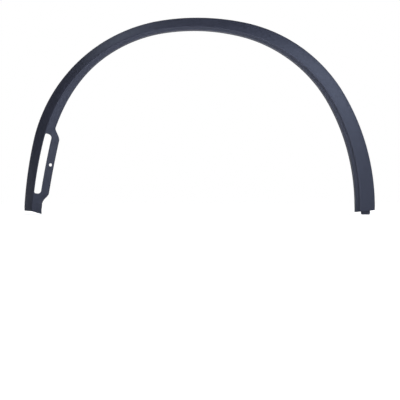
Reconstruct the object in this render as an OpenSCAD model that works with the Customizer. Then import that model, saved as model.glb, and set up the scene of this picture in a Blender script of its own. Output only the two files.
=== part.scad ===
// Wheel arch trim for the left front wheel opening of a car.
// It is one injection moulding: a sloping face with a rolled outer edge, a crease,
// a lip that turns back into the wheel opening, an air outlet slot behind the front
// foot with a screw strap beside it, and clip houses on the hidden side.
// Push-in clips sit in the houses and press into holes in the wing.
// X runs along the car with the front at -X, the outside faces -Y, and Z is up.

/* [Outline of the outer edge, from the rear foot over the roof to the front foot] */
// Where the outer edge of the rear foot starts, along the car
rear_foot_x = 444.5; // [430:0.5:460]
// How far the rear foot leans forward as it rises, in degrees
rear_lean = 1.9; // [0:0.1:4]
// Radius of the rear leg
rear_leg_r = 563; // [520:1:640]
// Angle that the rear leg turns through
rear_leg_turn = 32.2; // [28:0.1:34]
// Radius of the rear shoulder
rear_shoulder_r = 380; // [360:5:410]
// Angle that the rear shoulder turns through
rear_shoulder_turn = 47.9; // [45:0.1:51]
// Radius of the roof
roof_r = 595; // [530:5:650]
// Angle that the roof turns through
roof_turn = 20.1; // [18:0.1:24]
// Radius of the front shoulder
front_shoulder_r = 397; // [380:1:430]
// Angle that the front shoulder turns through
front_shoulder_turn = 68.3; // [65:0.1:71]
// Radius of the front leg
front_leg_r = 1004; // [880:2:1100]
// Angle that the front leg turns through
front_leg_turn = 10.9; // [9:0.1:13]

/* [Width of the face, seen from the side of the car] */
// At the rear foot
rear_foot_face = 40.5; // [36:0.5:44]
// At the rear leg
rear_leg_face = 37.3; // [33:0.1:41]
// At the rear shoulder
rear_shoulder_face = 35.2; // [32:0.1:39]
// At the crown
crown_face = 26.6; // [25:0.1:32]
// At the front shoulder
front_shoulder_face = 25; // [23:0.5:28]
// At the head of the outlet slot
slot_head_face = 27.6; // [26:0.2:29]
// At the front foot
front_foot_face = 24.5; // [22:0.5:26]

/* [Rise of the crease above the outer edge] */
// At the rear foot
rear_foot_rise = 20; // [17:0.5:24]
// At the rear shoulder
rear_shoulder_rise = 21; // [18:0.5:25]
// At the crown
crown_rise = 25; // [21:0.5:29]
// At the front shoulder
front_shoulder_rise = 27; // [23:0.5:31]
// At the head of the outlet slot
slot_head_rise = 32; // [28:0.5:36]
// At the front foot
front_foot_rise = 34; // [29:0.5:38]

/* [Depth of the outer edge in from the crown's crease, as the wing curves in] */
// At the rear foot
rear_foot_in = 20; // [16:0.5:26]
// At the crown
crown_in = 25; // [22:0.5:29]
// At the front shoulder
front_shoulder_in = 36; // [30:0.5:42]
// At the head of the outlet slot
slot_head_in = 58; // [50:0.5:64]
// At the front foot
front_foot_in = 74; // [66:0.5:82]
// How far the crown's crease stands outboard of the part's middle
crease_out = 40.5; // [34:0.5:48]

/* [Lip that turns back into the wheel opening] */
// Width of the lip, seen from the side, at the rear foot
rear_foot_lip = 11.2; // [8:0.2:13]
// Width of the lip at the rear leg
rear_leg_lip = 12.4; // [9:0.2:14]
// Width of the lip at the rear shoulder
rear_shoulder_lip = 8.6; // [6:0.2:11]
// Width of the lip at the crown
crown_lip = 7.6; // [6:0.2:9]
// Width of the lip at the front shoulder
front_shoulder_lip = 11.4; // [8:0.2:13]
// Width of the lip at the head of the outlet slot
slot_head_lip = 19.2; // [17:0.2:24]
// Depth of the lip at the rear foot
rear_lip_in = 17.5; // [14:0.5:22]
// Depth of the lip at the crown
crown_lip_in = 19; // [15:0.5:22]
// Depth of the lip at the head of the outlet slot
slot_head_lip_in = 16; // [12:0.5:20]
// Where the lip bends, as a share of its width
lip_bend_at = 0.74; // [0.6:0.02:0.8]
// Depth of that bend over the rear leg and the roof, as a share of the lip's depth
rear_bend_in = 0.36; // [0.3:0.02:0.6]
// Depth of that bend at the head of the outlet slot, as a share of the lip's depth
front_bend_in = 0.6; // [0.5:0.02:0.8]
// Width of the step between the crease and the lip
step_w = 1.6; // [1.4:0.1:2.2]
// Depth of that step over the rear leg and the roof
rear_step_in = 4.4; // [3:0.1:6]
// Depth of that step along the outlet slot
front_step_in = 1.8; // [1.2:0.1:2.6]

/* [Wall and edges] */
// Thickness of the moulded wall
wall = 2.5; // [2:0.1:3]
// Height of the rolled outer edge above the wing
edge_h = 5; // [3.5:0.25:6]
// Radius of the rolled outer edge
edge_r = 3; // [1.5:0.25:4]
// Radius of the crease
crease_r = 2.5; // [1:0.25:3.5]
// Radius at the foot of the step
step_r = 1.2; // [0.6:0.2:2]
// Radius of the corners on the hidden side
inner_r = 0.8; // [0.4:0.1:1.2]
// How far the face bulges at its middle
face_crown = 0.8; // [0:0.1:1.6]
// Distance between two sections of the lofted wall
section_step = 16; // [14:1:28]

/* [Strap and air outlet slot] */
// Distance along the outer edge from the front end to the bottom of the slot
slot_from_foot = 57; // [52:1:64]
// Length of the slot along the outer edge
slot_len = 160; // [140:2:168]
// Width of the strip left between the step and the slot
slot_margin = 0.8; // [0.6:0.1:1.6]
// Corner radius of the slot at its bottom
slot_low_r = 4; // [2:0.5:6]
// Corner radius of the slot at its top, on the face's side
slot_top_r = 3; // [1:0.5:4]
// Corner radius of the slot at its top, on the strap's side
slot_high_r = 9; // [6:0.5:10]
// Distance from the outer edge to the strap at the bottom of the slot
strap_low_at = 41; // [39:0.5:42.5]
// Distance from the outer edge to the strap at the top of the slot
strap_high_at = 44.5; // [43:0.5:46]
// How far the strap bows away from the outer edge at its middle
strap_bow = 1.7; // [0:0.1:4]
// Width of the strap
strap_w = 20.6; // [18:0.2:23]
// Width of the turned strip along the strap's side of the slot
strap_turn = 2.2; // [1.5:0.1:3.5]
// Depth of the strap behind the crease at the slot
strap_in = 14; // [11:0.5:17]
// How much further in the strap's inner edge lies
strap_tilt_in = 2; // [0:0.5:4]
// How far above the slot the lip starts to widen into the strap
jog_high = 22.5; // [18:0.5:26]
// Length over which the lip widens into the strap
jog_high_len = 33; // [26:1:38]
// How early the widening sets in: 1 is even, and less is earlier
jog_lead = 0.8; // [0.6:0.05:1]
// How far above the slot's bottom the strap starts to narrow
jog_low = 3.5; // [0:0.5:8]
// Length over which the strap narrows to the front foot
jog_low_len = 28; // [22:1:34]
// Diameter of the screw hole
screw_d = 8; // [6:0.1:9]
// Diameter of the seat behind the screw hole
screw_seat_d = 16; // [14:0.5:18]
// How far the seat stands behind the strap
screw_seat_in = 1.6; // [1:0.2:3]
// Position of the screw hole along the strap, as a share of the slot
screw_at = 0.5; // [0.3:0.05:0.7]

/* [Feet] */
// Height of the feet's outer corners above the tip of the tongue
foot_z = 11; // [8:0.5:16]
// How far the front foot's inner corner hangs below its outer corner
front_foot_drop = 6.3; // [4:0.1:9]
// How far the rear foot's inner corner hangs below its outer corner
rear_foot_drop = 6.2; // [0:0.1:8]
// Length over which the sections swing round to the slope of a foot
foot_blend = 34; // [28:1:44]
// Width of the front foot over its face and flange
front_foot_w = 45.5; // [44:0.5:52]
// Where the front foot's flange bends, as a share of its width
foot_bend_at = 0.58; // [0.5:0.02:0.7]
// Depth of that bend, as a share of the flange's depth
foot_bend_in = 0.52; // [0.4:0.02:0.7]
// Depth of the front foot's flange behind the crease
front_lip_in = 26; // [20:0.5:30]
// Width of the tongue that slips behind the end of the sill
tongue_w = 23; // [16:0.5:26]
// Distance from the outer edge to the tongue
tongue_at = 12.2; // [9:0.2:14]
// Thickness of the tongue
tongue_t = 2.2; // [1.8:0.1:2.6]
// Height of the tongue's root above its tip
tongue_h = 24; // [20:0.5:30]
// How far the tongue stands off the wing
tongue_off = 1.2; // [0.5:0.1:2]

/* [Clip houses and webs on the hidden side] */
// Number of clip houses
clips = 10; // [8:1:12]
// Distance along the outer edge from the rear end to the first house
clip_first = 62; // [56:1:80]
// Distance along the outer edge from the front end to the last house
clip_last = 134; // [110:1:150]
// Width of a house, across the face
house_w = 18; // [17:0.5:19]
// Length of a house, along the arch
house_l = 20; // [18:0.5:24]
// Thickness of a house's walls
house_wall = 1.8; // [1.5:0.1:2.2]
// Distance from the crease to the middle of a house
house_at = 13; // [11.5:0.25:13.5]
// Thickness of a house's floor
floor_t = 2; // [1.6:0.1:2.4]
// Thickness of a web
web_t = 1.6; // [1.2:0.1:2]
// Height of a web below the crease
web_h = 11; // [8:0.5:13]
// Height of the web in the front foot
front_web_h = 14; // [10:0.5:18]

/* [Push-in clip] */
// Diameter of the clip's head, held in the house
head_d = 14; // [12:0.5:14]
// Thickness of the head
head_t = 1.5; // [1:0.1:1.8]
// Diameter of the neck, in the house's floor
neck_d = 7; // [6:0.25:8]
// Diameter of the collar that presses on the wing
collar_d = 16; // [14:0.5:18]
// Thickness of the collar
collar_t = 1; // [0.8:0.1:1.4]
// Diameter over the barbs
barb_d = 9; // [8:0.25:10]
// Diameter of the shank between the barbs
shank_d = 5; // [4:0.25:6]
// Number of barbs
barbs = 3; // [2:1:4]
// Distance between barbs
barb_step = 3.6; // [3:0.2:4.4]
// Play around the neck and between the clip and the floor
clip_play = 0.15; // [0.1:0.05:0.3]

/* [Hidden] */
$fn = 48;
moulding_colour = [0.25, 0.26, 0.32];
clip_colour = [0.86, 0.84, 0.78];

// The outer edge is a chain of arcs that run into each other without a corner.
arc_r = [rear_leg_r, rear_shoulder_r, roof_r, front_shoulder_r, front_leg_r];
arc_turn = [rear_leg_turn, rear_shoulder_turn, roof_turn, front_shoulder_turn, front_leg_turn];
function arc_len(i) = arc_r[i] * arc_turn[i] * PI / 180;
function len_before(i) = i == 0 ? 0 : len_before(i - 1) + arc_len(i - 1);
function heading_before(i) = i == 0 ? 90 - rear_lean : heading_before(i - 1) + arc_turn[i - 1];
function inward(heading) = [-sin(heading), cos(heading)];
function arc_centre(i) = i == 0
    ? [rear_foot_x, 0] + arc_r[0] * inward(heading_before(0))
    : arc_centre(i - 1) + (arc_r[i] - arc_r[i - 1]) * inward(heading_before(i));
edge_len = len_before(5);
centres = [for (i = [0:4]) arc_centre(i)];
starts = [for (i = [0:4]) len_before(i)];
headings = [for (i = [0:4]) heading_before(i)];
function arc_at(l, i = 4) = i == 0 || l >= starts[i] ? i : arc_at(l, i - 1);
// Direction of the edge at distance l from the rear end, in degrees from +X towards +Z
function heading(l) = let (i = arc_at(l)) headings[i] + (l - starts[i]) / arc_r[i] * 180 / PI;
// Point at distance l along the edge and d in from it, as [x, z]
function at(l, d = 0) = let (i = arc_at(l)) centres[i] + (d - arc_r[i]) * inward(heading(l));

// Stations where the section's sizes are given, as shares of the edge's length
rear_foot = 0;
rear_leg = 0.13;
rear_shoulder = 0.31;
crown = 0.5;
front_shoulder = 0.68;
slot_head = 0.85;
front_foot = 1;
faces = [[rear_foot, rear_foot_face], [rear_leg, rear_leg_face],
    [rear_shoulder, rear_shoulder_face], [crown, crown_face],
    [front_shoulder, front_shoulder_face], [slot_head, slot_head_face],
    [front_foot, front_foot_face]];
rises = [[rear_foot, rear_foot_rise], [rear_shoulder, rear_shoulder_rise],
    [crown, crown_rise], [front_shoulder, front_shoulder_rise],
    [slot_head, slot_head_rise], [front_foot, front_foot_rise]];
edge_depths = [[rear_foot, rear_foot_in], [rear_shoulder, rear_shoulder_rise],
    [crown, crown_in], [front_shoulder, front_shoulder_in],
    [slot_head, slot_head_in], [front_foot, front_foot_in]];
lips = [[rear_foot, rear_foot_lip], [rear_leg, rear_leg_lip],
    [rear_shoulder, rear_shoulder_lip], [crown, crown_lip],
    [front_shoulder, front_shoulder_lip], [slot_head, slot_head_lip]];
bends = [[crown, rear_bend_in], [slot_head, front_bend_in]];
lip_depths = [[rear_foot, rear_lip_in], [crown, crown_lip_in], [slot_head, slot_head_lip_in]];
steps = [[crown, rear_step_in], [front_shoulder, (rear_step_in + front_step_in) / 2],
    [slot_head, front_step_in]];

// A smooth curve through the stations, with an even slope at each one
function slope(keys, i) = i <= 0 || i >= len(keys) - 1 ? 0
    : (keys[i + 1].y - keys[i - 1].y) / (keys[i + 1].x - keys[i - 1].x);
function span_at(keys, s, i = 0) = i >= len(keys) - 2 || s < keys[i + 1].x ? i : span_at(keys, s, i + 1);
function smooth(keys, s) = s <= keys[0].x ? keys[0].y
    : s >= keys[len(keys) - 1].x ? keys[len(keys) - 1].y
    : let (i = span_at(keys, s), w = keys[i + 1].x - keys[i].x, t = (s - keys[i].x) / w)
        keys[i].y * (1 + 2 * t) * pow(1 - t, 2) + keys[i + 1].y * t * t * (3 - 2 * t)
        + w * slope(keys, i) * t * pow(1 - t, 2) - w * slope(keys, i + 1) * t * t * (1 - t);

function face_w(l) = smooth(faces, l / edge_len);
function rise(l) = smooth(rises, l / edge_len);
function edge_y(l) = smooth(edge_depths, l / edge_len) - crease_out;
function crease_y(l) = edge_y(l) - rise(l);
function step_in(l) = smooth(steps, l / edge_len);

// The slot and the strap beside it, as distances along the edge
slot_low = edge_len - slot_from_foot;
slot_high = slot_low - slot_len;
function ease(t) = let (u = min(1, max(0, t))) u * u * (3 - 2 * u);
// The strap's outer edge, which is the slot's inner side, bows like the arch
function strap_at(l) = let (t = min(1, max(0, (l - slot_high) / slot_len)))
    mix(strap_high_at, strap_low_at, t) + strap_bow * 4 * t * (1 - t);
// How far the lip has widened into the strap, and narrowed again to the front foot's flange
function strap_share(l) = ease(pow(max(0, (l - slot_high + jog_high) / jog_high_len), jog_lead));
function foot_share(l) = ease((l - slot_low + jog_low) / jog_low_len);
function inner_edge(l) = mix(mix(face_w(l) + smooth(lips, l / edge_len), strap_at(l) + strap_w, strap_share(l)),
    front_foot_w, foot_share(l));
// A corner of the slot pulls its side in by this much at distance t from the slot's end
function round_off(t, r) = t >= r ? 0 : r - sqrt(max(0, r * r - pow(r - max(0, t), 2)));
function slot_outer(l) = face_w(l) + slot_margin
    + max(round_off(l - slot_high, slot_top_r), round_off(slot_low - l, slot_low_r));
function slot_inner(l) = strap_at(l)
    - max(round_off(l - slot_high, slot_high_r), round_off(slot_low - l, slot_low_r));
// The bend between the slot's side of the lip and the strap
function bend_at(l) = mix(mix(face_w(l) + lip_bend_at * smooth(lips, l / edge_len), strap_at(l) + strap_turn,
    strap_share(l)), mix(face_w(l), front_foot_w, foot_bend_at), foot_share(l));
function lip_in(l) = mix(mix(smooth(lip_depths, l / edge_len), strap_in + strap_tilt_in, strap_share(l)),
    front_lip_in, foot_share(l));
function bend_in(l) = mix(mix(smooth(bends, l / edge_len) * smooth(lip_depths, l / edge_len), strap_in,
    strap_share(l)), foot_bend_in * front_lip_in, foot_share(l));

// The feet end on a slope: this is how much further a point lies along the edge there
function foot_slope(l, d) = front_foot_drop * max(0, (d - front_foot_face) / (front_foot_w - front_foot_face))
        * max(0, 1 - (front_end - l) / foot_blend)
    - rear_foot_drop * d / (rear_foot_face + rear_foot_lip) * max(0, 1 - (l - rear_end) / foot_blend);
rear_end = foot_z;
front_end = edge_len - foot_z + 1.5;

// Corners of the section at distance l, as [distance in from the edge, y]
function edge_foot(l) = [0, edge_y(l)];
function edge_top(l) = [0, edge_y(l) - edge_h];
function crease(l) = [face_w(l), crease_y(l)];
function step_foot(l) = crease(l) + [step_w, step_in(l)];
function lip_bend(l) = [bend_at(l), crease_y(l) + bend_in(l)];
function lip_end(l) = [inner_edge(l), crease_y(l) + lip_in(l)];
// A point on the lip between the step and the bend, at distance d in from the edge
function on_lip(l, d) = let (a = step_foot(l), b = lip_bend(l)) mix(a, b, (d - a.x) / (b.x - a.x));

// Small tools for outlines
function unit(v) = v / norm(v);
function mix(a, b, t) = a * (1 - t) + b * t;
function left_of(v) = [-v.y, v.x];
function cross2(a, b) = a.x * b.y - a.y * b.x;
function meet(p, u, q, v) = p + u * cross2(q - p, v) / cross2(u, v);
// An arc of radius r that rounds corner b between a and c, as n + 1 points
function rounding(a, b, c, r, n) =
    let (u = unit(a - b), v = unit(c - b), half = acos(max(-1, min(1, u * v))) / 2,
        reach = min(r / tan(half), 0.45 * norm(a - b), 0.45 * norm(c - b)),
        rad = reach * tan(half), mid = b + unit(u + v) * rad / sin(half), turn = 90 - half)
    [for (i = [0:n]) let (t = (2 * i / n - 1) * turn, w = unit(-(u + v)))
        mid + rad * (w * cos(t) + unit(v - u) * sin(t))];
// A line moved by the wall's thickness to the hidden side, as [point, direction]
function moved(a, b) = let (u = unit(b - a)) [a + wall * left_of(u), u];
function meet_lines(m, n) = meet(m[0], m[1], n[0], n[1]);

edge_steps = 2;
crease_steps = 2;
// The visible side of the section, from the foot of the outer edge to the end of the lip
function outside(l) =
    let (a = edge_foot(l), b = edge_top(l), c = crease(l), d = step_foot(l), e = lip_bend(l),
        bulge = face_crown * left_of(unit(b - c)))
    concat([a], rounding(a, b, c, edge_r, edge_steps),
        [mix(b, c, 0.36) + 0.92 * bulge, mix(b, c, 0.68) + 0.87 * bulge],
        rounding(b, c, d, crease_r, crease_steps),
        rounding(c, d, e, step_r, 1), [on_lip(l, slot_near(l)), on_lip(l, slot_far(l)), e, lip_end(l)]);
// The hidden side, point for point
function inside(l) =
    let (a = edge_foot(l), b = edge_top(l), c = crease(l), d = step_foot(l), e = lip_bend(l),
        f = lip_end(l), ab = moved(a, b), bc = moved(b, c), de = moved(d, e), ef = moved(e, f),
        bb = meet_lines(ab, bc), cc = meet_lines(bc, de), side = wall * left_of(unit(e - d)),
        near = under_lip(l, slot_near(l), de, side), far = under_lip(l, slot_far(l), de, side))
    concat([a + [wall, 0]], rounding(a + [wall, 0], bb, cc, inner_r, edge_steps),
        [mix(bb, cc, 0.36), mix(bb, cc, 0.68)],
        rounding(bb, cc, near, inner_r, crease_steps),
        [mix(cc, near, 0.7), mix(cc, near, 0.85)],
        [near, far, meet_lines(de, ef), f + wall * left_of(unit(f - e))]);
// The columns of points that the slot lies between, which spread evenly away from the slot
function slot_reach(l) = ease(1 - max(slot_high - l, l - slot_low) / foot_blend);
function slot_near(l) = let (a = step_foot(l).x, b = bend_at(l))
    mix(mix(a, b, 0.34), slot_outer(l), slot_reach(l));
function slot_far(l) = let (a = step_foot(l).x, b = bend_at(l))
    mix(mix(a, b, 0.67), slot_inner(l), slot_reach(l));
// The hidden point below the lip: square to the lip, and straight through along the slot
function under_lip(l, d, m, side) =
    mix(on_lip(l, d) + side, meet(m[0], m[1], [d, 0], [0, 1]), slot_reach(l));
slot_column = 1 + (edge_steps + 1) + 2 + (crease_steps + 1) + 2;

function place(l, p) = let (q = at(l + foot_slope(l, p.x), p.x)) [q.x, p.y, q.y];
// Where the sections stand: even steps, and close ones where the lip widens and by the slot's ends
jog_start = slot_high - jog_high - 3;
even_count = round((jog_start - rear_end) / section_step);
close_count = 8;
function spread(a, b, n) = [for (i = [0:n - 1]) mix(a, b, i / n)];
sections = concat(spread(rear_end, jog_start, even_count),
    spread(jog_start, slot_high, close_count),
    [for (a = [0:18:72]) slot_high + slot_high_r * (1 - cos(a))],
    spread(slot_high + slot_high_r, slot_low - slot_low_r, 9),
    [for (a = [90:-30:30]) slot_low - slot_low_r * (1 - cos(a))],
    spread(slot_low, slot_low + jog_low_len - jog_low, close_count),
    spread(slot_low + jog_low_len - jog_low, front_end, 2), [front_end]);

// Two triangles for four corners
function quad(a, b, c, d) = [[a, b, c], [a, c, d]];
// One wall from the two sides of every section, left open where the slot is
module shell() {
    rows = len(sections);
    cols = len(outside(0));
    points = concat(
        [for (l = sections) each [for (p = outside(l)) place(l, p)]],
        [for (l = sections) each [for (p = inside(l)) place(l, p)]]);
    function f(i, j) = i * cols + j;
    function b(i, j) = (rows + i) * cols + j;
    function in_slot(i) = sections[i] > slot_high - 0.01 && sections[i + 1] < slot_low + 0.01;
    slot_rows = [for (i = [0:rows - 2]) if (in_slot(i)) i];
    top = slot_rows[0];
    bottom = slot_rows[len(slot_rows) - 1] + 1;
    s = slot_column;
    faces = concat(
        [for (i = [0:rows - 2]) for (j = [0:cols - 2]) if (j != s || !in_slot(i))
            each concat(quad(f(i, j), f(i, j + 1), f(i + 1, j + 1), f(i + 1, j)),
                quad(b(i, j + 1), b(i, j), b(i + 1, j), b(i + 1, j + 1)))],
        [for (i = [0:rows - 2]) each quad(f(i, cols - 1), b(i, cols - 1), b(i + 1, cols - 1), f(i + 1, cols - 1))],
        [for (i = [0:rows - 2]) each quad(b(i, 0), f(i, 0), f(i + 1, 0), b(i + 1, 0))],
        [for (j = [0:cols - 2]) each quad(b(0, j), b(0, j + 1), f(0, j + 1), f(0, j))],
        [for (j = [0:cols - 2])
            each quad(f(rows - 1, j), f(rows - 1, j + 1), b(rows - 1, j + 1), b(rows - 1, j))],
        [for (i = slot_rows) each concat(quad(f(i, s), b(i, s), b(i + 1, s), f(i + 1, s)),
            quad(b(i, s + 1), f(i, s + 1), f(i + 1, s + 1), b(i + 1, s + 1)))],
        quad(f(top, s), f(top, s + 1), b(top, s + 1), b(top, s)),
        quad(b(bottom, s), b(bottom, s + 1), f(bottom, s + 1), f(bottom, s)));
    polyhedron(points, faces, convexity = 10);
}

// The section plane at distance l: x runs in from the edge, y stays y, z runs towards the rear
module at_station(l) {
    p = at(l);
    translate([p.x, 0, p.y]) rotate([0, -heading(l) - 90, 0]) children();
}
// A point of the wall's middle on the face, at distance d in from the edge
function face_mid(l, d) = let (t = d / face_w(l), b = edge_top(l), c = crease(l))
    mix(b, c, t) + [0, wall * 0.55 * norm(c - b) / c.x];
// A point of the wall's middle on the lip, at depth h behind the crease
function lip_mid(l, h) = let (deep = h > bend_in(l), a = deep ? lip_bend(l) : step_foot(l),
        b = deep ? lip_end(l) : lip_bend(l), u = b - a, t = min(1, (crease_y(l) + h - a.y) / u.y))
    a + u * t + wall * 0.5 * left_of(unit(u));

// Clip houses stand between the face and the wing, open towards the rear
clip_at = [for (i = [0:clips - 1]) mix(clip_first, edge_len - clip_last, i / (clips - 1))];
function house_mid(l) = face_w(l) - house_at;
function floor_y(l) = edge_y(l) - collar_t;
module clip_house(l) {
    near = house_mid(l) - house_w / 2;
    far = house_mid(l) + house_w / 2;
    low = floor_y(l);
    at_station(l) difference() {
        translate([0, 0, -house_l / 2]) linear_extrude(house_l)
            polygon([[near, low], face_mid(l, near), face_mid(l, far), [far, low]]);
        // the room for the clip's head, open at the top and at the rear
        translate([0, 0, house_wall - house_l / 2]) linear_extrude(house_l)
            polygon([[near + house_wall, low - floor_t], [near + house_wall, crease_y(l)],
                [far - house_wall, crease_y(l)], [far - house_wall, low - floor_t]]);
        // the keyhole in the floor, with a round end for the clip's neck
        translate([house_mid(l), low + 1, 0]) rotate([90, 0, 0])
            cylinder(d = neck_d + 2 * clip_play, h = floor_t + 2);
        translate([house_mid(l) - neck_d / 2 - clip_play, low - floor_t - 1, 0])
            cube([neck_d + 2 * clip_play, floor_t + 2, house_l]);
    }
}

// Webs stiffen the crease halfway between the houses
web_at = [for (i = [0:clips - 2]) (clip_at[i] + clip_at[i + 1]) / 2];
function web_outline(l, h) = let (free = rise(l) - edge_h, d = max(wall / 2, face_w(l) * (1 - h / free)))
    concat(h > free ? [[d, crease_y(l) + h]] : [],
        [face_mid(l, d), face_mid(l, face_w(l)) - [0.4, 0.4], lip_mid(l, step_in(l))],
        h > bend_in(l) ? [lip_mid(l, bend_in(l))] : [], [lip_mid(l, h)]);
module web(l, h, t) {
    at_station(l) translate([0, 0, -t / 2]) linear_extrude(t) polygon(web_outline(l, h));
}

// The tongue hangs from a web that closes the rear foot, and the front foot has a web too
tongue_y = edge_y(0) - tongue_t - tongue_off;
module tongue() {
    a = at(foot_z, tongue_at).x;
    b = at(foot_z, tongue_at + tongue_w).x;
    translate([b, tongue_y, 0]) cube([a - b, tongue_t, tongue_h]);
}

screw_l = mix(slot_high, slot_low, screw_at);
screw_p = at(screw_l, strap_at(screw_l) + 0.5 * (strap_w + strap_turn));
strap_y = crease_y(screw_l) + strap_in + 0.5 * strap_tilt_in;
module along_y(y, d, h) {
    translate([screw_p.x, y, screw_p.y]) rotate([-90, 0, 0]) cylinder(d = d, h = h);
}

module arch_moulding() color(moulding_colour) difference() {
    union() {
        shell();
        for (l = clip_at) clip_house(l);
        for (l = web_at) if (l < jog_start) web(l, web_h, web_t);
        web(rear_end + 5, rear_foot_rise - tongue_off, web_t);
        web(front_end - 6, front_web_h, web_t);
        tongue();
        along_y(strap_y + wall / 2, screw_seat_d, wall / 2 + screw_seat_in);
    }
    along_y(strap_y - wall, screw_d, 3 * wall + screw_seat_in);
}

// One clip along +y, with the top of its head at the origin
module clip() {
    neck_l = floor_t + 2 * clip_play;
    collar_y = head_t + neck_l;
    shank_y = collar_y + collar_t - clip_play;
    tip_y = shank_y + barbs * barb_step + 2;
    profile = concat([[0, 0], [head_d / 2, 0], [head_d / 2, head_t], [neck_d / 2, head_t],
            [neck_d / 2, collar_y], [collar_d / 2, collar_y], [collar_d / 2, shank_y],
            [shank_d / 2, shank_y]],
        [for (i = [0:barbs - 1]) let (y = shank_y + 1.2 + i * barb_step)
            each [[shank_d / 2, y], [barb_d / 2, y + 0.4], [barb_d / 2, y + 0.9],
                [shank_d / 2, y + barb_step - 0.8]]],
        [[shank_d / 2, tip_y], [shank_d / 4, tip_y + 1.6], [0, tip_y + 1.6]]);
    rotate([-90, 0, 0]) rotate_extrude($fn = 16) polygon(profile);
}
module push_clips() color(clip_colour) for (l = clip_at)
    at_station(l) translate([house_mid(l), floor_y(l) - floor_t - clip_play - head_t, 0]) clip();

arch_moulding();
push_clips();
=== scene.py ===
import bpy
import bmesh
import math
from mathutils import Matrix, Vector


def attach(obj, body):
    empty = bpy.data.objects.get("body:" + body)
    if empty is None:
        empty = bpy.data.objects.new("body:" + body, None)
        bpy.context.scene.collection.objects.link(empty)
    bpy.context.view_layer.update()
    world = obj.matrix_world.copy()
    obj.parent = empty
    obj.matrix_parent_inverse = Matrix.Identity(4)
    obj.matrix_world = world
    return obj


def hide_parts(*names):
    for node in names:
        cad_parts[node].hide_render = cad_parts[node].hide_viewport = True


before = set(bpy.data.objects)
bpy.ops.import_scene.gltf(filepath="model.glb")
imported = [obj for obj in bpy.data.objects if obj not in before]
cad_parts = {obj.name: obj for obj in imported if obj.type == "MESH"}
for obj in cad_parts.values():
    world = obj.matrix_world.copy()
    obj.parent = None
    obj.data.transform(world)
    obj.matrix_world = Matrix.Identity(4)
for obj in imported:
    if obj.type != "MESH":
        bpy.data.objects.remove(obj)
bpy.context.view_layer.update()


# THE MOULDED WALL
# One injection moulding of grained dark blue-grey polypropylene: a sloping face with a rolled
# outer edge, a crease, a stepped lip that turns back into the wheel opening, the air outlet slot
# behind the front foot, and the strap beside it that a screw holds to the wing.

# The outer edge runs from the rear foot over the roof to the front foot as five arcs (mm, degrees).
rear_foot_x, rear_lean = 444.5, 1.9
radii_and_turns = ((563, 32.2), (380, 47.9), (595, 20.1), (397, 68.3), (1004, 10.9))
edge_arcs = []
edge_length = 0.0
turned = 90 - rear_lean
centre = None
for radius, turn in radii_and_turns:
    inward = Vector((-math.sin(math.radians(turned)), math.cos(math.radians(turned))))
    if centre is None:
        centre = Vector((rear_foot_x, 0.0)) + radius * inward
    else:
        centre = centre + (radius - edge_arcs[-1][1]) * inward
    edge_arcs.append((edge_length, radius, turned, centre))
    edge_length += radius * math.radians(turn)
    turned += turn


def arc_under(along):
    return [arc for arc in edge_arcs if along >= arc[0] or arc is edge_arcs[0]][-1]


def heading(along):
    """Direction of the outer edge, in degrees from +X towards +Z."""
    start, radius, first, _ = arc_under(along)
    return first + math.degrees((along - start) / radius)


def on_edge(along, inset=0.0):
    """The point that lies `inset` in from the outer edge, as x and z in mm."""
    _, radius, _, middle = arc_under(along)
    angle = math.radians(heading(along))
    return middle + (inset - radius) * Vector((-math.sin(angle), math.cos(angle)))


def blend_between(stations, along):
    """A smooth curve through sizes that are given at shares of the edge's length."""
    share = along / edge_length
    if share <= stations[0][0]:
        return stations[0][1]
    if share >= stations[-1][0]:
        return stations[-1][1]
    i = max(k for k in range(len(stations) - 1) if share >= stations[k][0])

    def slope(k):
        if k in (0, len(stations) - 1):
            return 0.0
        return (stations[k + 1][1] - stations[k - 1][1]) / (stations[k + 1][0] - stations[k - 1][0])

    (s0, v0), (s1, v1) = stations[i], stations[i + 1]
    width = s1 - s0
    t = (share - s0) / width
    return (v0 * (1 + 2 * t) * (1 - t) ** 2 + v1 * t * t * (3 - 2 * t)
            + width * slope(i) * t * (1 - t) ** 2 - width * slope(i + 1) * t * t * (1 - t))


def mixed(a, b, t):
    return a * (1 - t) + b * t


def eased(t):
    t = min(1.0, max(0.0, t))
    return t * t * (3 - 2 * t)


wall = 2.5
rolled_edge = 5.0
face_bulge = 0.8
bulge_places = ((0.36, 0.92), (0.68, 0.87))
crease_out = 40.5
face_widths = ((0, 40.5), (0.13, 37.3), (0.31, 35.2), (0.5, 26.6), (0.68, 25), (0.85, 27.6), (1, 24.5))
crease_rises = ((0, 20), (0.31, 21), (0.5, 25), (0.68, 27), (0.85, 32), (1, 34))
edge_insets = ((0, 20), (0.31, 21), (0.5, 25), (0.68, 36), (0.85, 58), (1, 74))
lip_widths = ((0, 11.2), (0.13, 12.4), (0.31, 8.6), (0.5, 7.6), (0.68, 11.4), (0.85, 19.2))
lip_depths = ((0, 17.5), (0.5, 19), (0.85, 16))
bend_shares = ((0.5, 0.36), (0.85, 0.6))
lip_bend_at = 0.74
step_depths = ((0.5, 4.4), (0.68, 3.1), (0.85, 1.8))
step_width = 1.6
foot_height, front_overrun = 11.0, 1.5
rear_end = foot_height
front_end = edge_length - foot_height + front_overrun
slot_from_foot, slot_length = 57, 160
slot_low = edge_length - slot_from_foot
slot_high = slot_low - slot_length
strap_low_at, strap_high_at, strap_bow, strap_width, strap_turn = 41.0, 44.5, 1.7, 20.6, 2.2
strap_depth, strap_tilt = 14.0, 2.0
jog_high, jog_high_length, jog_lead, jog_low, jog_low_length = 22.5, 33.0, 0.8, 3.5, 28.0
foot_width, foot_depth, foot_blend = 45.5, 26.0, 34.0
foot_bend_at, foot_bend_depth = 0.58, 0.52
front_drop, rear_drop = 6.3, 6.2
slot_margin, slot_columns, under_step = 0.8, (0.34, 0.67), 0.6
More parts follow.
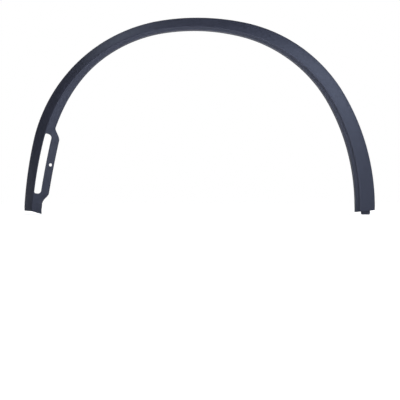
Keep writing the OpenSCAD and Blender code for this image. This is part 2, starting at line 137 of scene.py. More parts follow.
low_corner, strap_corner, top_corner, high_corner = 4.0, 7.0, 3.0, 9.0


def face_width(along):
    return blend_between(face_widths, along)


def edge_y(along):
    return blend_between(edge_insets, along) - crease_out


def crease_y(along):
    return edge_y(along) - blend_between(crease_rises, along)


def strap_at(along):
    t = min(1.0, max(0.0, (along - slot_high) / (slot_low - slot_high)))
    return mixed(strap_high_at, strap_low_at, t) + strap_bow * 4 * t * (1 - t)


def strap_share(along):
    return eased(max(0.0, (along - slot_high + jog_high) / jog_high_length) ** jog_lead)


def foot_share(along):
    return eased((along - slot_low + jog_low) / jog_low_length)


def round_off(t, r):
    return 0.0 if t >= r else r - math.sqrt(max(0.0, r * r - (r - max(0.0, t)) ** 2))


def control_points(along):
    """The section's corners at one place along the edge, as (in from the edge, y) in mm."""
    width, deep, lip = face_width(along), crease_y(along), blend_between(lip_widths, along)
    lip_deep, strap = blend_between(lip_depths, along), strap_at(along)
    in_strap, in_foot = strap_share(along), foot_share(along)
    foot, top = Vector((0, edge_y(along))), Vector((0, edge_y(along) - rolled_edge))
    crease = Vector((width, deep))
    step = crease + Vector((step_width, blend_between(step_depths, along)))
    bend = mixed(mixed(width + lip_bend_at * lip, strap + strap_turn, in_strap),
                 mixed(width, foot_width, foot_bend_at), in_foot)
    bend_deep = mixed(mixed(blend_between(bend_shares, along) * lip_deep, strap_depth, in_strap),
                      foot_bend_depth * foot_depth, in_foot)
    end = mixed(mixed(width + lip, strap + strap_width, in_strap), foot_width, in_foot)
    end_deep = mixed(mixed(lip_deep, strap_depth + strap_tilt, in_strap), foot_depth, in_foot)
    bend, end = Vector((bend, deep + bend_deep)), Vector((end, deep + end_deep))
    bulge = (top - crease).normalized()
    bulge = face_bulge * Vector((-bulge.y, bulge.x))
    face_middle = [mixed(top, crease, share) + lift * bulge for share, lift in bulge_places]

    # Along the slot two corners of the section run on its sides; away from it they spread evenly.
    past_top, before_bottom = along - slot_high, slot_low - along
    reach = eased(1 - max(-past_top, -before_bottom) / foot_blend)
    near = width + slot_margin + max(round_off(past_top, top_corner), round_off(before_bottom, low_corner))
    far = strap - max(round_off(past_top, high_corner), round_off(before_bottom, strap_corner))
    near = mixed(mixed(step.x, bend.x, slot_columns[0]), near, reach)
    far = mixed(mixed(step.x, bend.x, slot_columns[1]), far, reach)
    slot_sides = [mixed(step, bend, (d - step.x) / (bend.x - step.x)) for d in (near, far)]

    def behind(a, b):
        u = (b - a).normalized()
        return a + wall * Vector((-u.y, u.x)), u

    def meeting(p, u, q, v):
        return p + u * ((q - p).x * v.y - (q - p).y * v.x) / (u.x * v.y - u.y * v.x)

    face_line, lip_line, end_line = behind(top, crease), behind(step, bend), behind(bend, end)
    rim, ridge = meeting(*behind(foot, top), *face_line), meeting(*face_line, *lip_line)
    across = lip_line[0] - step
    straight_through = [meeting(*lip_line, Vector((p.x, 0)), Vector((0, 1))) for p in slot_sides]
    through = [mixed(p + across, q, reach) for p, q in zip(slot_sides, straight_through)]
    flat_middle = [mixed(rim, ridge, share) for share, _ in bulge_places]
    return [foot, top, *face_middle, crease, step, *slot_sides, bend, end,
            foot + Vector((wall, 0)), rim, *flat_middle, ridge, mixed(ridge, through[0], under_step),
            *through, meeting(*lip_line, *end_line), end + (end_line[0] - bend)]


def place(along, p):
    """Puts a section's point in the car's frame, in metres; near the feet it follows their slope."""
    front_face, rear_width = face_widths[-1][1], face_widths[0][1] + lip_widths[0][1]
    front_share = max(0.0, (p.x - front_face) / (foot_width - front_face))
    shift = (front_drop * front_share * max(0.0, 1 - (front_end - along) / foot_blend)
             - rear_drop * p.x / rear_width * max(0.0, 1 - (along - rear_end) / foot_blend))
    q = on_edge(along + shift, p.x)
    return Vector((q.x, p.y, q.y)) * 0.001


def spread(a, b, step):
    n = max(1, round((b - a) / step))
    return [a + (b - a) * i / n for i in range(n)]


# Sections stand close together where the lip widens and round the slot's ends.
plain_step, close_step, foot_step, corner_turn, past_jog = 4, 1.5, 2.5, 9, 2
jog_start, jog_end = slot_high - jog_high - plain_step, slot_low + jog_low_length - jog_low + past_jog
rows = (spread(rear_end, jog_start, plain_step) + spread(jog_start, slot_high, close_step)
        + [slot_high + high_corner * (1 - math.cos(math.radians(a))) for a in range(0, 90, corner_turn)]
        + spread(slot_high + high_corner, slot_low - high_corner, plain_step)
        + [slot_low - high_corner * (1 - math.cos(math.radians(a))) for a in range(90, 0, -corner_turn)]
        + spread(slot_low, jog_end, close_step) + spread(jog_end, front_end, foot_step) + [front_end])
slot_first = min(range(len(rows)), key=lambda i: abs(rows[i] - slot_high))
slot_last = min(range(len(rows)), key=lambda i: abs(rows[i] - slot_low))

control_mesh = bpy.data.meshes.new("wall_control_points")
control_mesh.from_pydata([place(along, p) for along in rows for p in control_points(along)], [], [])
control_net = bpy.data.objects.new("wall_control_points", control_mesh)
bpy.context.scene.collection.objects.link(control_net)


class Socket:
    """An output of a node. Sums and products of sockets add Math nodes to the same tree."""

    def __init__(self, sheet, output):
        self.sheet, self.output = sheet, output

    def math(self, operation, *values):
        return self.sheet.add("ShaderNodeMath", {"operation": operation}, dict(enumerate(values)))

    def __add__(self, other):
        return self.math("ADD", self, other)

    def __sub__(self, other):
        return self.math("SUBTRACT", self, other)

    def __rsub__(self, other):
        return self.math("SUBTRACT", other, self)

    def __mul__(self, other):
        return self.math("MULTIPLY", self, other)

    def __truediv__(self, other):
        return self.math("DIVIDE", self, other)

    def __mod__(self, other):
        return self.math("FLOORED_MODULO", self, other)

    def __gt__(self, other):
        return self.math("GREATER_THAN", self, other)

    def __lt__(self, other):
        return self.math("LESS_THAN", self, other)

    def __getitem__(self, name):
        return Socket(self.sheet, self.output.node.outputs[name])

    __radd__ = __add__
    __rmul__ = __mul__


class Sheet:
    """A node tree that is being drawn. add() is the one way to put a node on it."""

    def __init__(self, tree):
        self.tree = tree

    def add(self, kind, settings=None, values=None, output=0):
        node = self.tree.nodes.new(kind)
        for name, value in (settings or {}).items():
            setattr(node, name, value)
        for name, value in (values or {}).items():
            if isinstance(name, int):
                socket = node.inputs[name]
            else:
                socket = [s for s in node.inputs if s.name == name and s.enabled][0]
            for one in value if isinstance(value, list) else [value]:
                if isinstance(one, Socket):
                    self.tree.links.new(one.output, socket)
                else:
                    socket.default_value = one
        shown = [s for s in node.outputs if s.enabled]
        return Socket(self, shown[output])


def start_tree(name, sizes):
    """A Geometry Nodes tree with a geometry in and out and named inputs for its sizes."""
    tree = bpy.data.node_groups.new(name, "GeometryNodeTree")
    tree.interface.new_socket("Geometry", in_out="INPUT", socket_type="NodeSocketGeometry")
    for title, kind in sizes:
        tree.interface.new_socket(title, in_out="INPUT", socket_type="NodeSocket" + kind)
    tree.interface.new_socket("Geometry", in_out="OUTPUT", socket_type="NodeSocketGeometry")
    sheet = Sheet(tree)
    given = sheet.add("NodeGroupInput")
    return tree, sheet, given


def close_tree(sheet, geometry, material):
    """Every tree ends in real geometry with its material on it."""
    real = sheet.add("GeometryNodeRealizeInstances", {}, {"Geometry": geometry})
    made = sheet.add("GeometryNodeSetMaterial", {}, {"Geometry": real, "Material": material})
    out = sheet.tree.nodes.new("NodeGroupOutput")
    sheet.tree.links.new(made.output, out.inputs[0])


def grow(base, tree, sizes, name):
    """Runs a tree on an object and keeps the result as a plain mesh of its own."""
    modifier = base.modifiers.new("growth", "NODES")
    modifier.node_group = tree
    for item in tree.interface.items_tree:
        if item.in_out == "INPUT" and item.name in sizes:
            modifier[item.identifier] = sizes[item.name]
    base.update_tag()
    depsgraph = bpy.context.evaluated_depsgraph_get()
    mesh = bpy.data.meshes.new_from_object(base.evaluated_get(depsgraph), depsgraph=depsgraph)
    base.modifiers.remove(modifier)
    bpy.data.objects.remove(base)
    mesh.name = name
    piece = bpy.data.objects.new(name, mesh)
    bpy.context.scene.collection.objects.link(piece)
    return piece


# The grain: fine cells of a leather-like grain in the bump, and a soft unevenness of the tone and
# the gloss.
grained = bpy.data.materials.new("grained_polypropylene")
grained.use_nodes = True
shade = Sheet(grained.node_tree)
shader = grained.node_tree.nodes["Principled BSDF"]
where = shade.add("ShaderNodeTexCoord")["Object"]
cells = shade.add("ShaderNodeTexVoronoi", {"feature": "SMOOTH_F1"},
                  {"Vector": where, "Scale": 900.0, "Smoothness": 0.6})
fine = shade.add("ShaderNodeTexNoise", {},
                 {"Vector": where, "Scale": 1500.0, "Detail": 3.0, "Roughness": 0.6})
cloud = shade.add("ShaderNodeTexNoise", {},
                  {"Vector": where, "Scale": 9.0, "Detail": 4.0, "Roughness": 0.55})
streak = shade.add("ShaderNodeTexNoise", {},
                   {"Vector": where, "Scale": 60.0, "Detail": 3.0, "Roughness": 0.6})
height = cells * 0.7 + fine * 0.35
bump = shade.add("ShaderNodeBump", {}, {"Strength": 0.35, "Distance": 0.00025, "Height": height})
tone = shade.add("ShaderNodeMix", {"data_type": "RGBA"},
                 {"Factor": cloud * 0.7 + fine * 0.3,
                  "A": (0.038, 0.0420, 0.065, 1), "B": (0.052, 0.0575, 0.088, 1)})
gloss = 0.38 + cloud * 0.10 + streak * 0.05 + cells * 0.05
for name, value in (("Base Color", tone), ("Roughness", gloss), ("Normal", bump)):
    grained.node_tree.links.new(value.output, shader.inputs[name])
shader.inputs["Specular IOR Level"].default_value = 0.45
shader.inputs["Specular Tint"].default_value = (0.66, 0.76, 1, 1)

# The tree rounds the corners of every section, lays the wall's two sides over them, opens the
# slot and drills the screw hole.
loft, sheet, given = start_tree("moulded_wall", (
    ("Points on a side", "Int"), ("Edge radius", "Float"), ("Crease radius", "Float"),
    ("Step radius", "Float"), ("Bend radius", "Float"), ("Inner radius", "Float"),
    ("Steps in a corner", "Int"), ("Slot column", "Int"), ("Slot first row", "Int"), ("Slot last row", "Int"),
    ("Screw centre", "Vector"), ("Screw radius", "Float"), ("Material", "Material")))
index = sheet.add("GeometryNodeInputIndex")
count = given["Points on a side"]
side = sheet.add("ShaderNodeMath", {"operation": "FLOOR"}, {0: index / count})
hidden = side % 2.0
corner = index % count
cloud_points = sheet.add("GeometryNodeMeshToPoints", {}, {"Mesh": given["Geometry"]})
outlines = sheet.add("GeometryNodePointsToCurves", {},
                     {"Points": cloud_points, "Curve Group ID": side, "Weight": index})
# The corners are numbered as control_points lists them: top, crease, step and bend are rounded.
radius_here = 0.0
for at_corner, outer, inner in ((1, "Edge radius", "Inner radius"), (4, "Crease radius", "Inner radius"),
                                (5, "Step radius", "Step radius"), (8, "Bend radius", "Inner radius")):
    is_here = sheet.add("ShaderNodeMath", {"operation": "COMPARE"}, {0: corner, 1: float(at_corner), 2: 0.1})
    radius_here = is_here * (given[outer] * (1 - hidden) + given[inner] * hidden) + radius_here
rounded = sheet.add("GeometryNodeFilletCurve", {"mode": "POLY"},
                    {"Curve": outlines, "Count": given["Steps in a corner"], "Radius": radius_here,
                     "Limit Radius": True})
sizes = sheet.add("GeometryNodeAttributeDomainSize", {"component": "CURVE"}, {"Geometry": rounded})
column_count = sizes["Point Count"] / sizes["Spline Count"]
row_count = sizes["Spline Count"] / 2
flat_sheet = sheet.add("GeometryNodeMeshGrid", {}, {
    "Size X": column_count - 1, "Size Y": row_count - 1, "Vertices X": column_count, "Vertices Y": row_count})
spot = sheet.add("ShaderNodeSeparateXYZ", {}, {0: sheet.add("GeometryNodeInputPosition")})
column = spot["X"] + (column_count - 1) / 2
row = spot["Y"] + (row_count - 1) / 2
in_slot = ((column > given["Slot column"]) * (column < given["Slot column"] + 1)
           * (row > given["Slot first row"]) * (row < given["Slot last row"]))
opened = sheet.add("GeometryNodeDeleteGeometry", {"domain": "FACE", "mode": "ONLY_FACE"},
                   {"Geometry": flat_sheet, "Selection": in_slot})
whole_row = sheet.add("ShaderNodeMath", {"operation": "ROUND"}, {0: row})
whole_column = sheet.add("ShaderNodeMath", {"operation": "ROUND"}, {0: column})
marked = sheet.add("GeometryNodeStoreNamedAttribute", {"data_type": "FLOAT", "domain": "POINT"},
                   {"Geometry": opened, "Name": "place in section",
                    "Value": whole_row * column_count * 2 + whole_column})
mark = sheet.add("GeometryNodeInputNamedAttribute", {"data_type": "FLOAT"}, {"Name": "place in section"})
points = sheet.add("GeometryNodeInputPosition")
shown_spot = sheet.add("GeometryNodeSampleIndex", {"data_type": "FLOAT_VECTOR"},
                       {"Geometry": rounded, "Value": points, "Index": mark})
hidden_spot = sheet.add("GeometryNodeSampleIndex", {"data_type": "FLOAT_VECTOR"},
                        {"Geometry": rounded, "Value": points, "Index": mark + column_count})
shown_side = sheet.add("GeometryNodeSetPosition", {}, {"Geometry": marked, "Position": shown_spot})
lifted = sheet.add("GeometryNodeExtrudeMesh", {"mode": "FACES"},
                   {"Mesh": shown_side, "Offset Scale": 0.001, "Individual": False})
hidden_side = sheet.add("GeometryNodeSetPosition", {},
                        {"Geometry": lifted, "Selection": lifted["Top"], "Position": hidden_spot})
turned_over = sheet.add("GeometryNodeFlipFaces", {}, {"Mesh": shown_side})
joined = sheet.add("GeometryNodeJoinGeometry", {}, {"Geometry": [turned_over, hidden_side]})
closed = sheet.add("GeometryNodeMergeByDistance", {}, {"Geometry": joined, "Distance": 0.000002})
drill = sheet.add("GeometryNodeMeshCylinder", {},
                  {"Vertices": 64, "Radius": given["Screw radius"], "Depth": 0.03})
placed_drill = sheet.add("GeometryNodeTransform", {}, {
    "Geometry": drill, "Translation": given["Screw centre"], "Rotation": (math.pi / 2, 0, 0)})
drilled = sheet.add("GeometryNodeMeshBoolean", {"operation": "DIFFERENCE", "solver": "EXACT"},
                    {"Mesh 1": closed, "Mesh 2": placed_drill})
smooth = sheet.add("GeometryNodeSetShadeSmooth", {"domain": "FACE"},
                   {"Geometry": drilled, "Shade Smooth": True})
crisp_angle = math.radians(38)
bent = sheet.add("GeometryNodeInputMeshEdgeAngle") > crisp_angle
crisp = sheet.add("GeometryNodeSetShadeSmooth", {"domain": "EDGE"},
                  {"Geometry": smooth, "Selection": bent, "Shade Smooth": False})
plain = sheet.add("GeometryNodeRemoveAttribute", {}, {"Geometry": crisp, "Name": "place in section"})
close_tree(sheet, plain, given["Material"])

screw_radius = 4.0
screw_along = mixed(slot_high, slot_low, 0.5)
screw_spot = on_edge(screw_along, strap_at(screw_along) + 0.5 * (strap_width + strap_turn))
strap_y = crease_y(screw_along) + strap_depth + 0.5 * strap_tilt
points_on_side = len(control_points(0)) // 2
# The slot's column comes after the foot, three rounded corners and the points under the crown.
corner_steps = 4
slot_column = 1 + (corner_steps + 1) + len(bulge_places) + 2 * (corner_steps + 1)
wall_piece = grow(control_net, loft, {
    "Points on a side": points_on_side, "Edge radius": 0.003, "Crease radius": 0.0025, "Step radius": 0.0012,
    "Bend radius": 0.002, "Inner radius": 0.0008, "Steps in a corner": corner_steps,
    "Slot column": slot_column, "Slot first row": slot_first, "Slot last row": slot_last,
    "Screw centre": (screw_spot.x / 1000, strap_y / 1000, screw_spot.y / 1000),
    "Screw radius": screw_radius / 1000, "Material": grained}, "moulded_wall")
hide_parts("arch_moulding")
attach(wall_piece, "root")


# CLIP HOUSES AND WEBS
# Moulded with the wall on its hidden side: boxes that are open towards the rear, each with a
# keyhole in its floor for the neck of a clip, and thin webs half way between them and in both
# feet that keep the crease stiff.
house_width, house_length, house_wall, house_at = 18.0, 20.0, 1.8, 13.0
floor_thickness, collar_thickness, keyhole = 2.0, 1.0, 3.65
web_height, front_web_height, web_thickness, web_setback = 11, 14, 1.6, 0.4
rooted_at = 0.55 * wall
clip_count, clip_from_rear, clip_from_front = 10, 62, 134
clip_stations = [mixed(clip_from_rear, edge_length - clip_from_front, i / (clip_count - 1))
                 for i in range(clip_count)]
web_stations = [(a + b) / 2 for a, b in zip(clip_stations, clip_stations[1:])]


def middle_of_face(along, inset):
    top, crease = Vector((0, edge_y(along) - rolled_edge)), Vector((face_width(along), crease_y(along)))
    return mixed(top, crease, inset / crease.x) + Vector((0, rooted_at * (crease - top).length / crease.x))


def middle_of_lip(along, deep):
    step, bend, end = [control_points(along)[i] for i in (5, 8, 9)]
    a, b = (bend, end) if crease_y(along) + deep > bend.y else (step, bend)
    u = (b - a).normalized()
    share = min(1, (crease_y(along) + deep - a.y) / (b.y - a.y))
    return mixed(a, b, share) + 0.5 * wall * Vector((-u.y, u.x))


def stations_mesh(name, stations):
    """One point for each station; the corners and the rearward direction are kept as attributes."""
    mesh = bpy.data.meshes.new(name)
    mesh.from_pydata([(0, 0, 0)] * len(stations), [], [])
    for number, title in enumerate(("low near", "high near", "high far", "low far")):
        data = mesh.attributes.new(title, "FLOAT_VECTOR", "POINT").data
        for k, (along, corners) in enumerate(stations):
            spot = on_edge(along, corners[number].x)
            data[k].vector = Vector((spot.x, corners[number].y, spot.y)) * 0.001
    data = mesh.attributes.new("rearward", "FLOAT_VECTOR", "POINT").data
    for k, (along, _) in enumerate(stations):
        angle = math.radians(heading(along))
        data[k].vector = (-math.cos(angle), 0, -math.sin(angle))
    piece = bpy.data.objects.new(name, mesh)
    bpy.context.scene.collection.objects.link(piece)
    return piece


# One tree fits a piece of unit size between the four corners of every station.
fitting, sheet, given = start_tree("fitted_between_corners", (
    ("Piece", "Object"), ("Length", "Float"), ("Material", "Material")))
unit_piece = sheet.add("GeometryNodeObjectInfo", {}, {"Object": given["Piece"]}, output=4)
copies = sheet.add("GeometryNodeInstanceOnPoints", {},
                   {"Points": sheet.add("GeometryNodeMeshToPoints", {}, {"Mesh": given["Geometry"]}),
                    "Instance": unit_piece})
real = sheet.add("GeometryNodeRealizeInstances", {}, {"Geometry": copies})
share = sheet.add("ShaderNodeSeparateXYZ", {}, {0: sheet.add("GeometryNodeInputPosition")})


def corner_of(title):
    return sheet.add("GeometryNodeInputNamedAttribute", {"data_type": "FLOAT_VECTOR"}, {"Name": title})


def mix_vectors(a, b, factor):
    return sheet.add("ShaderNodeMix", {"data_type": "VECTOR", "clamp_factor": False},
                     {"Factor": factor, "A": a, "B": b})


near_side = mix_vectors(corner_of("low near"), corner_of("high near"), share["Y"])
far_side = mix_vectors(corner_of("low far"), corner_of("high far"), share["Y"])
across = mix_vectors(near_side, far_side, share["X"])
lengthwise = sheet.add("ShaderNodeVectorMath", {"operation": "SCALE"},
                       {0: corner_of("rearward"), "Scale": share["Z"] * given["Length"]})
lift = sheet.add("GeometryNodeInputNamedAttribute", {"data_type": "FLOAT_VECTOR"}, {"Name": "lift"})
lifted = sheet.add("ShaderNodeVectorMath", {"operation": "ADD"}, {0: lengthwise, 1: lift})
in_place = sheet.add("ShaderNodeVectorMath", {"operation": "ADD"}, {0: across, 1: lifted})
fitted = sheet.add("GeometryNodeSetPosition", {}, {"Geometry": real, "Position": in_place})
# The fit turns a piece into its mirror image, so its faces are turned over again.
outward = sheet.add("GeometryNodeFlipFaces", {}, {"Mesh": fitted})
close_tree(sheet, outward, given["Material"])


def extruded(bm, outline, low, high):
    """A closed prism over an outline given as (across, along); low and high are (share, lift in m)."""
    lift_layer = bm.verts.layers.float_vector["lift"]
    rings = []
    for share_up, lift_up in (low, high):
        ring = [bm.verts.new((x, share_up, z)) for x, z in outline]
        for v in ring:
            v[lift_layer] = (0, lift_up, 0)
        rings.append(ring)
    n = len(outline)
    bm.faces.new(rings[0])
    bm.faces.new(rings[1][::-1])
    for i in range(n):
        bm.faces.new((rings[0][i], rings[1][i], rings[1][(i + 1) % n], rings[0][(i + 1) % n]))


def unit_object(name, prisms):
    bm = bmesh.new()
    bm.verts.layers.float_vector.new("lift")
    for prism in prisms:
        extruded(bm, *prism)
    bmesh.ops.recalc_face_normals(bm, faces=bm.faces)
    bmesh.ops.triangulate(bm, faces=[f for f in bm.faces if len(f.verts) > 4])
    mesh = bpy.data.meshes.new(name)
    bm.to_mesh(mesh)
    bm.free()
    piece = bpy.data.objects.new(name, mesh)
    bpy.context.scene.collection.objects.link(piece)
    return piece


# A house in unit size: side walls and an end wall, and a floor with the keyhole cut into it.
side, end, slit = house_wall / house_width, house_wall / house_length - 0.5, keyhole / house_width
round_end = [(0.5 + slit * math.cos(math.radians(a)), keyhole / house_length * math.sin(math.radians(a)))
             for a in range(0, -181, -15)]
walls_outline = [(0, 0.5), (0, -0.5), (1, -0.5), (1, 0.5), (1 - side, 0.5), (1 - side, end), (side, end),
                 (side, 0.5)]
floor_outline = [(side, 0.5), (side, end), (1 - side, end), (1 - side, 0.5), (0.5 + slit, 0.5), *round_end,
                 (0.5 - slit, 0.5)]
house = unit_object("unit_house", (
    (walls_outline, (0, 0), (1, 0)),
    (floor_outline, (0, 0), (0, -floor_thickness / 1000))))


def house_corners(along):
    middle = face_width(along) - house_at
    near, far = middle - house_width / 2, middle + house_width / 2
    low = edge_y(along) - collar_thickness
    return Vector((near, low)), middle_of_face(along, near), middle_of_face(along, far), Vector((far, low))


house_places = [(along, house_corners(along)) for along in clip_stations]
houses = grow(stations_mesh("house_stations", house_places), fitting,
              {"Piece": house, "Length": house_length / 1000, "Material": grained}, "clip_houses")
plate = unit_object("unit_plate", (([(0, -0.5), (1, -0.5), (1, 0.5), (0, 0.5)], (0, 0), (1, 0)),))


def web_corners(along, high):
    free = blend_between(crease_rises, along) - rolled_edge
    low_at = max(wall / 2, face_width(along) * (1 - high / free))
    low = Vector((low_at, crease_y(along) + high)) if high > free else middle_of_face(along, low_at)
    step = control_points(along)[5].y - crease_y(along)
    ridge = middle_of_face(along, face_width(along)) - Vector((web_setback, web_setback))
    return low, ridge, middle_of_lip(along, step), middle_of_lip(along, high)


# The web in the rear foot reaches as deep as the back of the tongue that hangs from it.
tongue_gap = 1.2
rear_web_height = crease_rises[0][1] - tongue_gap
web_from_rear, web_from_front = 5, 6
rear_web, front_web = rear_end + web_from_rear, front_end - web_from_front
web_places = [(along, web_corners(along, web_height)) for along in web_stations if along < jog_start]
web_places += [(rear_web, web_corners(rear_web, rear_web_height)),
               (front_web, web_corners(front_web, front_web_height))]
webs = grow(stations_mesh("web_stations", web_places), fitting,
            {"Piece": plate, "Length": web_thickness / 1000, "Material": grained}, "webs")
bpy.data.objects.remove(house)
bpy.data.objects.remove(plate)
for piece in (houses, webs):
    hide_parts("arch_moulding")
    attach(piece, "root")


# TONGUE AND SCREW SEAT
# The tongue is a thin tab under the rear foot that slips behind the end of the sill trim, and the
# seat is a low ring around the screw hole on the back of the strap. Both are moulded with the wall.
tongue_at, tongue_width, tongue_thickness, tongue_height = 12.2, 23, 2.2, 24
tip_radius, soft_edge, sharp_turn = 0.003, 0.0004, 1.2


def in_steady_order(bm):
    """A bevel or a spin leaves edges and faces in another order on each run, so they are sorted."""
    bm.verts.index_update()
    for items in (bm.edges, bm.faces):
        corners = {item: tuple(sorted(v.index for v in item.verts)) for item in items}
        rank = {found: i for i, found in enumerate(sorted(corners.values()))}
        items.sort(key=lambda item: rank[corners[item]])


def smooth_mesh(bm, name, crisp_turn):
    """Smooth faces, with a crisp edge where two of them turn by more than crisp_turn, in radians."""
    bmesh.ops.recalc_face_normals(bm, faces=bm.faces)
    for face in bm.faces:
        face.smooth = True
    for edge in bm.edges:
        edge.smooth = edge.calc_face_angle(0) < crisp_turn
    mesh = bpy.data.meshes.new(name)
    bm.to_mesh(mesh)
    bm.free()
    return mesh


tongue_y = edge_y(0) - tongue_thickness - tongue_gap
left, right = on_edge(foot_height, tongue_at + tongue_width).x, on_edge(foot_height, tongue_at).x
bm = bmesh.new()
bmesh.ops.create_cube(bm, size=1.0)
for v in bm.verts:
    v.co = (mixed(left, right, v.co.x + 0.5) / 1000,
            (tongue_y + tongue_thickness * (v.co.y + 0.5)) / 1000,
            tongue_height / 1000 * (v.co.z + 0.5))
tip_corners = [e for e in bm.edges
               if abs(e.verts[0].co.y - e.verts[1].co.y) > 0.001 and e.verts[0].co.z < 0.001]
bmesh.ops.bevel(bm, geom=tip_corners, offset=tip_radius, segments=6, affect="EDGES", profile=0.5)
sharp = [e for e in bm.edges if e.calc_face_angle(0) > sharp_turn]
bmesh.ops.bevel(bm, geom=sharp, offset=soft_edge, segments=2, affect="EDGES", profile=0.5)
in_steady_order(bm)
mesh = bpy.data.meshes.new("tongue")
bm.to_mesh(mesh)
bm.free()
mesh.materials.append(grained)
tongue = bpy.data.objects.new("tongue", mesh)

seat_radius, seat_height, seat_chamfer, seat_turns = 8.0, 1.6, 0.4, 64
seat_root, seat_top = wall / 2, wall + seat_height
ring = [(screw_radius, seat_root), (seat_radius, seat_root), (seat_radius, seat_top - seat_chamfer),
        (seat_radius - seat_chamfer, seat_top), (screw_radius + seat_chamfer, seat_top),
        (screw_radius, seat_top - seat_chamfer)]
bm = bmesh.new()
loops = []
for i in range(seat_turns):
    angle = 2 * math.pi * i / seat_turns
    loops.append([bm.verts.new(((screw_spot.x + r * math.cos(angle)) / 1000, (strap_y + y) / 1000,
                                (screw_spot.y + r * math.sin(angle)) / 1000)) for r, y in ring])
for here, after in zip(loops, loops[1:] + loops[:1]):
    for j in range(len(ring)):
        after_j = (j + 1) % len(ring)
        bm.faces.new((here[j], here[after_j], after[after_j], after[j]))
mesh = smooth_mesh(bm, "screw_seat", 0.6)
mesh.materials.append(grained)
seat = bpy.data.objects.new("screw_seat", mesh)
for piece in (tongue, seat):
    bpy.context.scene.collection.objects.link(piece)
    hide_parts("arch_moulding")
    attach(piece, "root")


# PUSH-IN CLIPS
# Ten identical clips of natural nylon. The head slides into a house from the rear, the collar
# presses on the wing, and the barbs snap through a hole in it.
nylon = bpy.data.materials.new("natural_nylon")
nylon.use_nodes = True
shade = Sheet(nylon.node_tree)
shader = nylon.node_tree.nodes["Principled BSDF"]
where = shade.add("ShaderNodeTexCoord")["Object"]
haze = shade.add("ShaderNodeTexNoise", {}, {"Vector": where, "Scale": 220.0, "Detail": 3.0})
pores = shade.add("ShaderNodeTexNoise", {}, {"Vector": where, "Scale": 1800.0, "Detail": 2.0})
tone = shade.add("ShaderNodeMix", {"data_type": "RGBA"},
                 {"Factor": haze, "A": (0.70, 0.675, 0.59, 1), "B": (0.77, 0.745, 0.665, 1)})
bump = shade.add("ShaderNodeBump", {}, {"Strength": 0.08, "Distance": 0.0001, "Height": pores})
for name, value in (("Base Color", tone), ("Roughness", 0.34 + haze * 0.2), ("Normal", bump)):
    nylon.node_tree.links.new(value.output, shader.inputs[name])
shader.inputs["Subsurface Weight"].default_value = 0.1
shader.inputs["Subsurface Radius"].default_value = (0.002, 0.0018, 0.0012)

head_radius, head_thickness, neck_radius, collar_radius, play = 7.0, 1.5, 3.5, 8.0, 0.15
barb_count, barb_radius, shank_radius, barb_pitch, first_barb = 3, 4.5, 2.5, 3.6, 1.2
head_rounding, collar_rounding, barb_rounding, clip_turns = 0.3, 0.25, 0.15, 40
collar_y = head_thickness + floor_thickness + 2 * play
shank_y = collar_y + collar_thickness - play
tip_y = shank_y + barb_count * barb_pitch + 2
profile = [(0, 0), (head_radius - head_rounding, 0), (head_radius, head_rounding),
           (head_radius, head_thickness - head_rounding), (head_radius - head_rounding, head_thickness),
           (neck_radius, head_thickness), (neck_radius, collar_y),
           (collar_radius - collar_rounding, collar_y), (collar_radius, collar_y + collar_rounding),
           (collar_radius, shank_y), (shank_radius, shank_y)]
for i in range(barb_count):
    y = shank_y + first_barb + i * barb_pitch
    profile += [(shank_radius, y), (barb_radius - barb_rounding, y + 0.35), (barb_radius, y + 0.55),
                (barb_radius, y + 0.8), (barb_radius - barb_rounding, y + 0.95),
                (shank_radius, y + barb_pitch - 0.8)]
profile += [(shank_radius, tip_y), (shank_radius * 0.85, tip_y + 0.9), (shank_radius / 2, tip_y + 1.5),
            (0, tip_y + 1.6)]
bm = bmesh.new()
line = [bm.verts.new((r / 1000, y / 1000, 0)) for r, y in profile]
spun = [bm.edges.new(pair) for pair in zip(line, line[1:])]
bmesh.ops.spin(bm, geom=line + spun, axis=(0, 1, 0), cent=(0, 0, 0), angle=2 * math.pi,
               steps=clip_turns, use_merge=True)
bmesh.ops.remove_doubles(bm, verts=bm.verts, dist=0.00001)
in_steady_order(bm)
one_clip = bpy.data.objects.new("unit_clip", smooth_mesh(bm, "unit_clip", 0.7))
bpy.context.scene.collection.objects.link(one_clip)

clip_mesh = bpy.data.meshes.new("clip_stations")
clip_places = []
for along in clip_stations:
    spot = on_edge(along, face_width(along) - house_at)
    head_y = edge_y(along) - collar_thickness - floor_thickness - play - head_thickness
    clip_places.append(Vector((spot.x, head_y, spot.y)) / 1000)
clip_mesh.from_pydata(clip_places, [], [])
clip_points = bpy.data.objects.new("clip_stations", clip_mesh)
bpy.context.scene.collection.objects.link(clip_points)
row_of_clips, sheet, given = start_tree("row_of_clips", (
    ("Clip", "Object"), ("Size", "Float"), ("Seed", "Int"), ("Material", "Material")))
one = sheet.add("GeometryNodeObjectInfo", {}, {"Object": given["Clip"]}, output=4)
twist = sheet.add("FunctionNodeRandomValue", {"data_type": "FLOAT"},
                  {"Min": 0.0, "Max": 2 * math.pi, "Seed": given["Seed"]})
turn_about = sheet.add("ShaderNodeCombineXYZ", {}, {1: twist})
size = sheet.add("ShaderNodeCombineXYZ", {}, {0: given["Size"], 1: given["Size"], 2: given["Size"]})
placed = sheet.add("GeometryNodeInstanceOnPoints", {}, {
    "Points": sheet.add("GeometryNodeMeshToPoints", {}, {"Mesh": given["Geometry"]}),
    "Instance": one, "Rotation": turn_about, "Scale": size})
close_tree(sheet, placed, given["Material"])
clips = grow(clip_points, row_of_clips,
             {"Clip": one_clip, "Size": 1.0, "Seed": 4, "Material": nylon}, "push_in_clips")
bpy.data.objects.remove(one_clip)
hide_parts("push_clips")
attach(clips, "root")


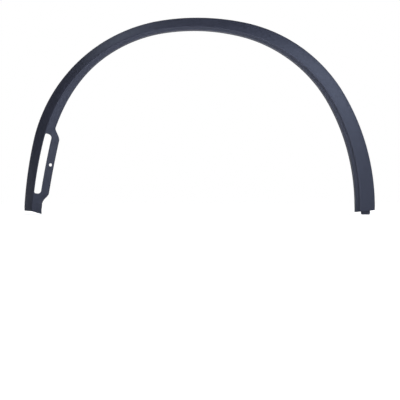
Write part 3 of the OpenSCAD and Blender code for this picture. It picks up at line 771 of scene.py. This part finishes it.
# STUDIO
# A plain white floor that stays white to its horizon and keeps the trim's shadow, large soft boxes
# to the right, high on the left, behind the camera and behind the trim, and a camera far off,
# level with the feet.
white = bpy.data.materials.new("white_floor")
white.use_nodes = True
shade = Sheet(white.node_tree)
white.node_tree.nodes.clear()
rays = shade.add("ShaderNodeLightPath")
seen = rays["Is Camera Ray"] + (rays["Is Glossy Ray"] + rays["Is Transmission Ray"]) * 0.6
where = shade.add("ShaderNodeTexCoord")["Object"]
away = shade.add("ShaderNodeVectorMath", {"operation": "LENGTH"}, {0: where})
whiter = shade.add("ShaderNodeMapRange", {"interpolation_type": "SMOOTHSTEP"},
                   {"Value": away, "From Min": 0.5, "From Max": 1.2, "To Min": 0.64, "To Max": 1.0})
matt = shade.add("ShaderNodeBsdfDiffuse", {}, {"Color": (0.8, 0.8, 0.8, 1)})
glow = shade.add("ShaderNodeEmission", {}, {"Color": (1, 1, 1, 1), "Strength": seen * whiter})
both = shade.add("ShaderNodeAddShader", {}, {0: matt, 1: glow})
out = white.node_tree.nodes.new("ShaderNodeOutputMaterial")
white.node_tree.links.new(both.output, out.inputs["Surface"])
bm = bmesh.new()
bmesh.ops.create_circle(bm, cap_ends=True, segments=96, radius=9.0)
mesh = bpy.data.meshes.new("floor")
bm.to_mesh(mesh)
bm.free()
mesh.materials.append(white)
floor = bpy.data.objects.new("floor", mesh)
bpy.context.scene.collection.objects.link(floor)

world = bpy.data.worlds.new("studio")
bpy.context.scene.world = world
world.use_nodes = True
shade = Sheet(world.node_tree)
world.node_tree.nodes.clear()
rays = shade.add("ShaderNodeLightPath")
direction = shade.add("ShaderNodeSeparateXYZ", {}, {0: shade.add("ShaderNodeTexCoord")["Generated"]})
behind = shade.add("ShaderNodeMapRange", {"interpolation_type": "SMOOTHSTEP"},
                   {"Value": direction["Y"], "From Min": 0.4, "From Max": 0.9, "To Min": 0.0, "To Max": 0.6})
seen = rays["Is Camera Ray"] + (rays["Is Glossy Ray"] + rays["Is Transmission Ray"]) * behind
ambient = shade.add("ShaderNodeBackground", {}, {"Color": (1, 1, 1, 1), "Strength": seen * 0.97 + 0.03})
out = world.node_tree.nodes.new("ShaderNodeOutputWorld")
world.node_tree.links.new(ambient.output, out.inputs["Surface"])

trim_middle = Vector((0, 0, 0.25))
for name, spot, size, power, tint in (
        ("soft_box_right", (1.592, -1.336, 1.4), 1.1, 23, (0.96, 1.0, 1.05)),
        ("soft_box_left", (-1.182, -0.208, 2.278), 0.9, 9.5, (0.96, 1.0, 1.04)),
        ("soft_box_front", (0.5, -3.563, 0.326), 1.3, 29, (1.04, 0.99, 0.95)),
        ("soft_box_back", (-0.7, 2.3, 1.3), 1.2, 30, (1.0, 1.0, 1.0))):
    light = bpy.data.lights.new(name, "AREA")
    light.shape, light.size, light.energy, light.color = "DISK", size, power, tint
    lamp = bpy.data.objects.new(name, light)
    lamp.location = spot
    lamp.rotation_euler = (trim_middle - Vector(spot)).to_track_quat("-Z", "Y").to_euler()
    bpy.context.scene.collection.objects.link(lamp)

# One spot from above meets only the floor in front, which throws its light up under the arch.
spot_light = bpy.data.lights.new("floor_spot", "SPOT")
spot_light.energy, spot_light.spot_size, spot_light.spot_blend = 350.0, math.radians(50), 0.8
spot_light.shadow_soft_size, spot_light.color = 0.1, (1.05, 0.99, 0.94)
lamp = bpy.data.objects.new("floor_spot", spot_light)
lamp.location = (0, -1.4, 2.2)
floor_in_front = Vector((0, -1.2, 0))
lamp.rotation_euler = (floor_in_front - lamp.location).to_track_quat("-Z", "Y").to_euler()
bpy.context.scene.collection.objects.link(lamp)

lens = bpy.data.cameras.new("camera")
lens.lens, lens.sensor_width, lens.clip_end = 108.0, 36.0, 50.0
camera = bpy.data.objects.new("camera", lens)
camera.location = (0.005, -3.0405, 0.0365)
camera.rotation_euler = (math.pi / 2, 0, 0)
bpy.context.scene.collection.objects.link(camera)
bpy.context.scene.camera = camera
bpy.context.scene.view_settings.view_transform = "Standard"
